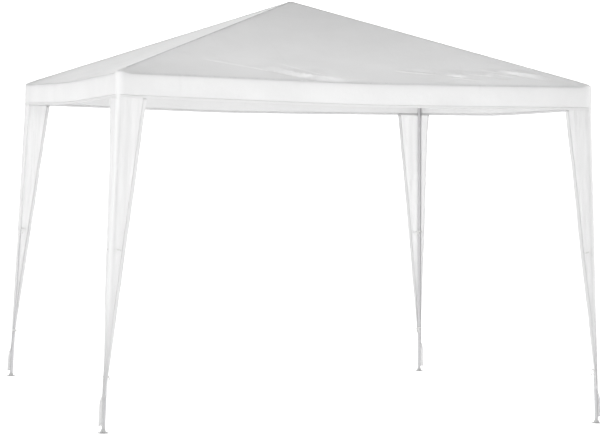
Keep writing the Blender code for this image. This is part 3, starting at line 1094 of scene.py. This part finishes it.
class TENT_OT_curtains(bpy.types.Operator):
    """Add the four tapered corner curtains with their hems"""

    bl_idname = "tent.curtains"
    bl_label = "Corner curtains"

    def execute(self, context):
        sizes = context.scene.tent_sizes
        shares = [-1.0, -0.93, -0.82, -0.68, -0.54, -0.42, -0.32, -0.24, -0.17, -0.12]
        shares += [-0.08, -0.06, -0.04, -0.02, 0.0]
        shares += [-share for share in reversed(shares[:-1])]
        for quarter, corner in enumerate(CORNERS):
            curtain = Curtain(sizes, quarter)
            heights = steps(curtain.top, curtain.hem_height, 2)
            heights += steps(curtain.hem_height - 0.02, 0.28, 80) + steps(0.272, CURTAIN_BOTTOM, 29)
            bm = sheet_grid(shares, heights, curtain.place)
            self.map_cloth(bm, curtain)
            face_out(bm, (0.0, 0.0, 1.0))
            name = "curtain_" + corner
            replaced = ["corner_" + name]
            piece = add_piece(context, bm, name, "curtain_tarpaulin", replaced, 60.0)
            give_thickness(piece, sizes.sheet_thickness)
            hems = [self.add_hem(context, curtain, wing) for wing in (-1.0, 1.0)]
        return {"FINISHED"}

    @staticmethod
    def map_cloth(bm, curtain):
        """Turn the map's shares of a wing's width into metres."""
        cloth = bm.loops.layers.uv[CLOTH_MAP]
        for face in bm.faces:
            for loop in face.loops:
                share, height = loop[cloth].uv
                loop[cloth].uv = (share * curtain.width(1.0 if share > 0 else -1.0, height), height)

    @staticmethod
    def add_hem(context, curtain, wing):
        """The doubled hem along a wing's free edge, down to where the wing ends."""

        def place(height, inset):
            width = curtain.width(wing, height)
            hem = min(CURTAIN_HEM_WIDTH, width * 0.42)
            share = wing * (1.0 + (0.0008 - inset * hem) / width)
            return curtain.place(share, height, -0.0004)

        low = CURTAIN_BOTTOM if wing == curtain.tail_wing else curtain.sizes.curtain_tip_height - 0.02
        bm = sheet_grid(steps(curtain.hem_height - 0.002, low, 110), (0.0, 0.06, 0.35, 0.7, 1.0), place)
        cloth = bm.loops.layers.uv[CLOTH_MAP]
        for face in bm.faces:
            for loop in face.loops:
                loop[cloth].uv.y *= CURTAIN_HEM_WIDTH
        face_out(bm, (0.0, 0.0, 1.0))
        name = "curtain_hem_" + CORNERS[curtain.quarter] + ("_a" if wing < 0 else "_b")
        piece = add_piece(context, bm, name, "curtain_hem_tarpaulin", (), 70.0)
        give_thickness(piece, CURTAIN_HEM_THICKNESS, 0.0)
        return piece


def spun(profile, count=TUBE_STEPS):
    """A closed shell turned about +Z from a closed half section of (radius, height) points."""
    bm = bmesh.new()
    ring = [bm.verts.new((radius, 0.0, height)) for radius, height in profile]
    edges = [bm.edges.new((a, b)) for a, b in zip(ring, ring[1:] + ring[:1])]
    bmesh.ops.spin(
        bm,
        geom=ring + edges,
        cent=(0.0, 0.0, 0.0),
        axis=(0.0, 0.0, 1.0),
        angle=math.tau,
        steps=count,
        use_merge=True,
    )
    bmesh.ops.remove_doubles(bm, verts=bm.verts[:], dist=0.00001)
    bmesh.ops.recalc_face_normals(bm, faces=bm.faces[:])
    return bm


def laid_along(bm, start, direction):
    """Turn a shape that stands on its origin so that it runs from start in a direction."""
    turn = direction.to_track_quat("Z", "Y").to_matrix().to_4x4()
    bmesh.ops.transform(bm, matrix=Matrix.Translation(start) @ turn, verts=bm.verts[:])


def along(start, end, distance):
    """The point at a distance from start towards end."""
    return start + (end - start).normalized() * distance


class FramePoints:
    """Where the tube axes of the front left quarter meet."""

    def __init__(self, sizes):
        half = sizes.leg_spacing / 2
        self.corner = Vector((-half, -half, sizes.eave_height))
        self.rafter_foot = Vector((-half, -half, sizes.rafter_height))
        self.next_corner = Vector((half, -half, sizes.eave_height))
        self.ground = Vector((-GROUND_REACH, -GROUND_REACH, 0.0))
        self.front_middle = Vector((0.0, -half, sizes.eave_height - sizes.eave_droop))
        self.left_middle = Vector((-half, 0.0, sizes.eave_height - sizes.eave_droop))
        self.peak = Vector((0.0, 0.0, sizes.peak_height))


def tube_bmesh(sizes, start, end, swaged):
    """A tube between two points. A swaged one narrows to a spigot that runs on past its end."""
    length = (end - start).length
    radius, wall = sizes.tube_radius, sizes.tube_wall
    bore = radius - wall
    round_off = 0.0003
    outside = [(radius - round_off, 0.0), (radius, round_off)]
    if swaged:
        spigot = bore - SEAT_GAP
        tip = length + SPIGOT_LENGTH
        outside += [(radius, length - 0.0048), (radius + 0.0001, length - 0.0038)]
        outside += [(radius - 0.0003, length - 0.0026), (spigot + 0.0002, length - 0.0006)]
        outside += [(spigot, length + 0.0006), (spigot, tip)]
        inside = [(spigot - wall, tip), (spigot - wall, length), (bore, length - 0.006), (bore, 0.0)]
    else:
        outside += [(radius, length - round_off), (radius - round_off, length)]
        inside = [(bore, length), (bore, 0.0)]
    bm = spun(outside + inside)
    laid_along(bm, start, end - start)
    return bm


class TENT_OT_tubes(bpy.types.Operator):
    """Add the legs, eave tubes and rafters, each in two lengths"""

    bl_idname = "tent.tubes"
    bl_label = "Tubes"

    def execute(self, context):
        sizes = context.scene.tent_sizes
        points = FramePoints(sizes)
        arm = sizes.arm_length + SEAT_GAP
        share = sizes.leg_joint_height / sizes.eave_height
        leg_joint = points.ground.lerp(points.corner, share)
        runs = (
            ("leg_lower_", "leg_upper_", points.ground, points.corner, FOOT_SEAT, leg_joint, CORNERS),
            ("rafter_lower_", "rafter_upper_", points.rafter_foot, points.peak, arm,
             points.rafter_foot.lerp(points.peak, 0.5), CORNERS),
            ("eave_tube_first_", "eave_tube_second_", points.corner, points.next_corner, arm,
             points.front_middle, SIDES),
        )
        for first, second, start, end, inset, joint, places in runs:
            shoulder = along(joint, start, SEAT_GAP)
            seat = along(start, joint, inset)
            far_seat = along(end, joint, arm)
            for quarter, place in enumerate(places):
                bm = tube_bmesh(sizes, seat, shoulder, True)
                self.bend_spigot(bm, seat, shoulder, joint, end)
                self.add(context, bm, first + place, quarter)
                self.add(context, tube_bmesh(sizes, joint, far_seat, False), second + place, quarter)
        return {"FINISHED"}

    @staticmethod
    def bend_spigot(bm, seat, shoulder, joint, end):
        """Set the spigot at the angle of the tube that it plugs into."""
        run = shoulder - seat
        bend = run.rotation_difference(end - joint)
        for vertex in bm.verts:
            if (vertex.co - shoulder).dot(run) > 0.0:
                vertex.co = joint + bend @ (vertex.co - joint)

    @staticmethod
    def add(context, bm, name, quarter):
        turn_to(bm, quarter)
        add_piece(context, bm, "steel_" + name, "powder_coat", [name])


def melted(bm, name):
    """Blend overlapping shells into one moulded shape with small fillets."""
    mesh = mesh_of(bm, name)
    lump = linked(name, mesh)
    remesh = lump.modifiers.new("Blend", "REMESH")
    remesh.mode = "VOXEL"
    remesh.voxel_size = MOULD_VOXEL
    relax = lump.modifiers.new("Relax", "SMOOTH")
    relax.factor = 0.5
    relax.iterations = 6
    bpy.context.view_layer.update()
    graph = bpy.context.evaluated_depsgraph_get()
    result = bmesh.new()
    result.from_object(lump, graph)
    bpy.data.objects.remove(lump, do_unlink=True)
    bpy.data.meshes.remove(mesh)
    return result


def arm_shells(sizes, centre, target):
    """A connector arm with a collar at its mouth, and the spigot that goes into the tube."""
    radius = sizes.tube_radius
    mouth = sizes.arm_length
    arm = spun([(0.0, 0.0), (radius, 0.0), (radius, mouth), (0.0, mouth)])
    collar_start, collar_radius = mouth - 0.007, radius + 0.0014
    collar = spun([(0.0, collar_start), (collar_radius, collar_start), (collar_radius, mouth), (0.0, mouth)])
    spigot_radius = radius - sizes.tube_wall - SEAT_GAP
    end = mouth + SPIGOT_LENGTH
    outline = [(0.0, mouth - 0.004), (spigot_radius, mouth - 0.004), (spigot_radius, end - 0.002)]
    spigot = spun(outline + [(spigot_radius - 0.002, end), (0.0, end)])
    for shell in (arm, collar, spigot):
        laid_along(shell, centre, target - centre)
    return arm, collar, spigot


def ball(radius, centre):
    bm = bmesh.new()
    bmesh.ops.create_uvsphere(bm, u_segments=32, v_segments=16, radius=radius)
    bmesh.ops.translate(bm, verts=bm.verts[:], vec=centre)
    return bm


class TENT_OT_connectors(bpy.types.Operator):
    """Add the moulded corner connectors and the peak connector"""

    bl_idname = "tent.connectors"
    bl_label = "Connectors"

    def execute(self, context):
        sizes = context.scene.tent_sizes
        points = FramePoints(sizes)
        arms = [(points.corner, points.front_middle), (points.corner, points.left_middle)]
        arms += [(points.corner, points.ground), (points.rafter_foot, points.peak)]
        body, spigots = self.shells(sizes, arms)
        add_shell(body, ball(0.0138, points.corner))
        add_shell(body, ball(0.0118, points.rafter_foot))
        neck = spun([(0.0, 0.0), (0.0105, 0.0), (0.0105, 0.0216), (0.0, 0.0216)])
        laid_along(neck, points.corner, UP)
        add_shell(body, neck)
        corner = melted(body, "corner_lump")
        add_shell(corner, spigots)
        pattern = mesh_of(corner, "corner_pattern")
        for quarter, place in enumerate(CORNERS):
            bm = bmesh.new()
            bm.from_mesh(pattern)
            turn_to(bm, quarter)
            name = "corner_connector_" + place
            add_piece(context, bm, "moulded_" + name, "moulded_plastic", [name])
        bpy.data.meshes.remove(pattern)
        self.add_peak(context, sizes, points)
        return {"FINISHED"}

    @staticmethod
    def shells(sizes, arms):
        """The arms with their collars, to be melted together, and the spigots, which stay crisp."""
        body, spigots = bmesh.new(), bmesh.new()
        for centre, target in arms:
            arm, collar, spigot = arm_shells(sizes, centre, target)
            add_shell(body, arm)
            add_shell(body, collar)
            add_shell(spigots, spigot)
        return body, spigots

    def add_peak(self, context, sizes, points):
        arms = [(points.peak, turned(points.rafter_foot, quarter)) for quarter in range(4)]
        body, spigots = self.shells(sizes, arms)
        lower = [(0.0, -0.022), (0.017, -0.022), (0.019, -0.020)]
        barrel = spun(lower + [(0.019, 0.0), (0.017, 0.002), (0.0, 0.002)])
        laid_along(barrel, points.peak, UP)
        add_shell(body, barrel)
        add_shell(body, ball(0.0118, points.peak))
        peak = melted(body, "peak_lump")
        add_shell(peak, spigots)
        name = "peak_connector"
        add_piece(context, peak, "moulded_" + name, "moulded_plastic", [name])


class TENT_OT_feet(bpy.types.Operator):
    """Add the four round feet with their flared bosses and peg holes"""

    bl_idname = "tent.feet"
    bl_label = "Feet"

    def execute(self, context):
        sizes = context.scene.tent_sizes
        points = FramePoints(sizes)
        spigot = sizes.tube_radius - sizes.tube_wall - SEAT_GAP
        outline = [(0.0, 0.0), (0.0335, 0.0), (0.0343, 0.0005), (0.0345, 0.0016), (0.0343, 0.0030)]
        outline += [(0.0335, FOOT_DISC_THICKNESS), (0.0325, 0.0036), (0.0315, 0.0031), (0.0255, 0.0030)]
        outline += [(0.0225, 0.0038), (0.0196, 0.0062), (0.0168, 0.0105), (0.0146, 0.0158)]
        outline += [(0.0134, 0.0198), (0.0131, 0.0212), (0.0126, 0.0219)]
        outline += [(spigot, 0.0220), (spigot, 0.0770), (spigot - 0.0015, 0.0785), (0.0, 0.0785)]
        lean = (points.corner.x - points.ground.x) / sizes.eave_height
        for quarter, place in enumerate(CORNERS):
            bm = spun(outline, 64)
            for vertex in bm.verts:
                lift = max(vertex.co.z - FOOT_DISC_THICKNESS, 0.0)
                vertex.co.x += lift * lean
                vertex.co.y += lift * lean
            bmesh.ops.translate(bm, verts=bm.verts[:], vec=points.ground)
            bm = self.drilled(bm, points.ground)
            turn_to(bm, quarter)
            name = "foot_" + place
            add_piece(context, bm, "steel_" + name, "foot_coat", [name], 40.0)
        return {"FINISHED"}

    @staticmethod
    def drilled(bm, ground):
        """Cut the two peg holes, at right angles to the diagonal through the leg."""
        blank = linked("foot_blank", mesh_of(bm, "foot_blank"))
        tools = []
        for side in (-1.0, 1.0):
            hole = bmesh.new()
            radii = {"radius1": PEG_HOLE_RADIUS, "radius2": PEG_HOLE_RADIUS}
            bmesh.ops.create_cone(hole, cap_ends=True, segments=24, depth=0.02, **radii)
            offset = Vector((1.0, -1.0, 0.0)).normalized() * side * PEG_HOLE_REACH
            bmesh.ops.translate(hole, verts=hole.verts[:], vec=ground + offset)
            drill = linked("foot_drill", mesh_of(hole, "foot_drill"))
            cut = blank.modifiers.new("Peg hole", "BOOLEAN")
            cut.operation = "DIFFERENCE"
            cut.solver = "EXACT"
            cut.object = drill
            tools.append(drill)
        bpy.context.view_layer.update()
        result = bmesh.new()
        result.from_object(blank, bpy.context.evaluated_depsgraph_get())
        for tool in tools + [blank]:
            bpy.data.objects.remove(tool, do_unlink=True)
        return result


def ribbon(path, width):
    """A flat tape that stands on edge along a path of points."""
    lengths = [0.0]
    for a, b in zip(path, path[1:]):
        lengths.append(lengths[-1] + (b - a).length)
    place_of = dict(zip(lengths, path))

    def place(distance, across):
        return place_of[distance] + UP * across

    return sheet_grid(lengths, steps(-width / 2, width / 2, 3), place)


class TENT_OT_ties(bpy.types.Operator):
    """Add the tie tapes that hold each curtain to its leg"""

    bl_idname = "tent.ties"
    bl_label = "Tie tapes"

    def execute(self, context):
        sizes = context.scene.tent_sizes
        points = FramePoints(sizes)
        for level, height, reach in (("middle", 1.060, 0.050), ("low", 0.330, 0.017)):
            for quarter, corner in enumerate(CORNERS):
                axis = points.ground.lerp(points.corner, height / sizes.eave_height)
                bm = self.strap(axis, reach)
                add_shell(bm, self.knot(axis))
                for side, length in ((-1, 0.042), (1, 0.034)):
                    add_shell(bm, self.tail(axis, side, length))
                turn_to(bm, quarter)
                name = "tie_" + level + "_" + corner
                add_piece(context, bm, name, "tie_webbing", (), 60.0)
        return {"FINISHED"}

    @staticmethod
    def solid(bm):
        """Give a tape its thickness."""
        bmesh.ops.recalc_face_normals(bm, faces=bm.faces[:])
        bmesh.ops.solidify(bm, geom=bm.faces[:], thickness=TAPE_THICKNESS)
        bmesh.ops.recalc_face_normals(bm, faces=bm.faces[:])
        return bm

    def strap(self, axis, reach):
        """From one wing, round the inner side of the tube, to the other wing."""
        wall, loop = 0.0165, 0.0120
        path = [Vector((reach + 0.004, -wall, -0.010)), Vector((reach - 0.004, -wall + 0.0006, -0.0085))]
        path += [Vector((reach * 0.62, -wall * 0.86, -0.005))]
        for i in range(13):
            angle = math.radians(-48.0 + 186.0 * i / 12)
            path.append(Vector((loop * math.cos(angle), loop * math.sin(angle), 0.0)))
        path += [Vector((point.y, point.x, point.z)) for point in reversed(path[:3])]
        return self.solid(ribbon([axis + point for point in path], STRAP_WIDTH))

    @staticmethod
    def knot(axis):
        """An overhand knot pulled tight on the inner side of the tube."""
        centre = axis + Vector((0.0125, 0.0125, 0.0))
        bm = bmesh.new()
        count, sides, size, thick = 48, 8, 0.0021, 0.0021
        out = ACROSS.cross(UP).normalized()
        rings = []

        def at(t):
            x = math.sin(t) + 2.0 * math.sin(2.0 * t)
            y = math.cos(t) - 2.0 * math.cos(2.0 * t)
            return centre + size * (ACROSS * x * 0.75 + UP * y * 0.75 - out * math.sin(3.0 * t) * 0.9)

        for i in range(count):
            t = math.tau * i / count
            here, ahead = at(t), at(t + 0.01)
            ring = bmesh.ops.create_circle(bm, segments=sides, radius=thick)["verts"]
            turn = (ahead - here).to_track_quat("Z", "Y").to_matrix().to_4x4()
            bmesh.ops.transform(bm, matrix=Matrix.Translation(here) @ turn, verts=ring)
            rings.append(ring)
        for first, second in zip(rings, rings[1:] + rings[:1]):
            ends = [set(first), set(second)]
            edges = {edge for vertex in first + second for edge in vertex.link_edges}
            ring_edges = [edge for edge in edges if any(set(edge.verts) <= end for end in ends)]
            bmesh.ops.bridge_loops(bm, edges=ring_edges)
        bmesh.ops.recalc_face_normals(bm, faces=bm.faces[:])
        bm.loops.layers.uv.new(CLOTH_MAP)
        return bm

    def tail(self, axis, side, length):
        """A loose end that hangs from the knot."""
        root = axis + INWARDS * 0.0205

        def place(distance, width):
            share = distance / length
            bow = 0.006 * math.sin(math.pi * min(share * 1.2, 1.0))
            spread = side * (0.002 + 0.011 * share**0.7)
            twist = side * 0.9 * share
            flat = ACROSS * math.cos(twist) + INWARDS * math.sin(twist)
            hung = root + INWARDS * (bow - 0.004 * share) - UP * distance * 0.97
            return hung + ACROSS * spread + flat * width

        half = TAIL_TAPE_WIDTH / 2
        return self.solid(sheet_grid(steps(0.0, length, 14), steps(-half, half, 2), place))


def add_box_light(name, power, size, place, aim):
    """A rectangular soft box at a place, facing a point."""
    data = bpy.data.lights.new(name, "AREA")
    data.shape = "RECTANGLE"
    data.size, data.size_y = size
    data.energy = power
    light = linked(name, data)
    light.location = place
    light.rotation_mode = "QUATERNION"
    light.rotation_quaternion = (aim - place).to_track_quat("-Z", "Y")


class TENT_OT_stage(bpy.types.Operator):
    """Add the pale floor, the soft studio light and the camera"""

    bl_idname = "tent.stage"
    bl_label = "Stage"

    def execute(self, context):
        settings = context.scene.tent_stage
        self.add_floor(settings)
        self.add_world(context, settings)
        self.add_strip_lights(settings)
        self.add_soft_boxes(settings)
        self.add_camera(context, settings)
        context.scene.view_settings.view_transform = "Standard"
        return {"FINISHED"}

    @staticmethod
    def add_floor(settings):
        """A white floor that glows, so that it meets the walls without a line."""
        bm = bmesh.new()
        bmesh.ops.create_grid(bm, x_segments=8, y_segments=8, size=settings.floor_size)
        mesh = mesh_of(bm, "floor")
        material, nodes = new_finish("pale_floor")
        sockets = {"Base Color": (0.25, 0.25, 0.25, 1.0), "Roughness": 0.9}
        sockets.update({"Emission Color": (1.0, 1.0, 1.0, 1.0), "Emission Strength": settings.floor_light})
        surface = nodes.add("ShaderNodeBsdfPrincipled", {}, sockets)
        nodes.add("ShaderNodeOutputMaterial", {}, {0: surface.out(0)})
        mesh.materials.append(material)
        floor = linked("floor", mesh)

    @staticmethod
    def add_world(context, settings):
        """White walls, brightest at the back, under a dim ceiling."""
        world = bpy.data.worlds.new("studio")
        world.use_nodes = True
        context.scene.world = world
        nodes = Nodes(world.node_tree)
        direction = nodes.add("ShaderNodeTexCoord").out("Generated")
        backwards = {0: direction, 1: (0.0, 1.0, 0.0)}
        towards = nodes.add("ShaderNodeVectorMath", {"operation": "DOT_PRODUCT"}, backwards)
        facing = {"Value": towards.out(1), "From Min": -0.9, "From Max": 0.68}
        facing["To Min"], facing["To Max"] = settings.wall_light, settings.bright_wall
        walls = nodes.add("ShaderNodeMapRange", {"interpolation_type": "SMOOTHSTEP"}, facing).out(0)
        height = nodes.add("ShaderNodeSeparateXYZ", {}, {0: direction}).out(2)
        ramp = {"Value": height, "From Min": 0.42, "From Max": 0.72}
        share = nodes.add("ShaderNodeMapRange", {"interpolation_type": "SMOOTHSTEP"}, ramp).out(0)
        strength = walls * (1.0 - share) + settings.overhead_light * share
        light = nodes.add("ShaderNodeBackground", {}, {0: (1.0, 1.0, 1.0, 1.0), 1: strength})
        nodes.add("ShaderNodeOutputWorld", {}, {0: light.out(0)})

    @staticmethod
    def add_strip_lights(settings):
        """A long soft box over each eave, which lights the lower roof more than the peak."""
        for quarter, side in enumerate(SIDES):
            power = settings.strip_power if quarter else settings.front_strip_power
            place, aim = (turned(point, quarter) for point in ((0.0, -2.10, 3.55), (0.0, -1.0, 2.2)))
            add_box_light("strip_light_" + side, power, (3.0, 0.6), place, aim)

    @staticmethod
    def add_soft_boxes(settings):
        """One low at the front left for the roof's folds, and one behind that shines through the curtains."""
        boxes = (
            ("key_soft_box", settings.key_power, (-3.3, -9.5, 3.1), (0.4, -0.8, 2.0)),
            ("rear_soft_box", settings.rear_power, (7.5, 5.0, 1.2), (1.2, 1.2, 1.4)),
        )
        for name, power, place, aim in boxes:
            add_box_light(name, power, (2.6, 1.6), Vector(place), Vector(aim))

    @staticmethod
    def add_camera(context, settings):
        """The photograph's camera."""
        data = bpy.data.cameras.new("camera")
        data.sensor_width = 36.0
        data.lens = settings.lens
        data.clip_end = 500.0
        camera = linked("camera", data)
        heading = Matrix.Rotation(math.radians(CAMERA_HEADING), 4, "Z")
        pitch = Matrix.Rotation(math.radians(90.0 + CAMERA_PITCH), 4, "X")
        roll = Matrix.Rotation(math.radians(CAMERA_ROLL), 4, "Z")
        camera.matrix_world = Matrix.Translation(CAMERA_PLACE) @ heading @ pitch @ roll
        context.scene.camera = camera


class TENT_PT_sidebar(bpy.types.Panel):
    """The tent's operators and settings"""

    bl_idname = "TENT_PT_sidebar"
    bl_label = "Party tent"
    bl_space_type = "VIEW_3D"
    bl_region_type = "UI"
    bl_category = "Tent"

    def draw(self, context):
        layout = self.layout
        for operator in OPERATORS:
            layout.operator(operator.bl_idname)
        for group in (context.scene.tent_sizes, context.scene.tent_colours, context.scene.tent_stage):
            box = layout.box()
            for name in group.__annotations__:
                box.prop(group, name)


GROUPS = (TentSizes, TentColours, StageSettings)
OPERATORS = (
    TENT_OT_stage,
    TENT_OT_canopy,
    TENT_OT_seams,
    TENT_OT_curtains,
    TENT_OT_tubes,
    TENT_OT_connectors,
    TENT_OT_feet,
    TENT_OT_ties,
)


def register():
    for made in (*GROUPS, *OPERATORS, TENT_PT_sidebar):
        bpy.utils.register_class(made)
    bpy.types.Scene.tent_sizes = bpy.props.PointerProperty(type=TentSizes)
    bpy.types.Scene.tent_colours = bpy.props.PointerProperty(type=TentColours)
    bpy.types.Scene.tent_stage = bpy.props.PointerProperty(type=StageSettings)


def unregister():
    del bpy.types.Scene.tent_stage
    del bpy.types.Scene.tent_colours
    del bpy.types.Scene.tent_sizes
    for made in reversed((*GROUPS, *OPERATORS, TENT_PT_sidebar)):
        bpy.utils.unregister_class(made)


def main():
    register()
    bpy.ops.tent.stage()
    bpy.ops.tent.canopy()
    bpy.ops.tent.seams()
    bpy.ops.tent.curtains()
    bpy.ops.tent.tubes()
    bpy.ops.tent.connectors()
    bpy.ops.tent.feet()
    bpy.ops.tent.ties()


if __name__ == "__main__":
    main()
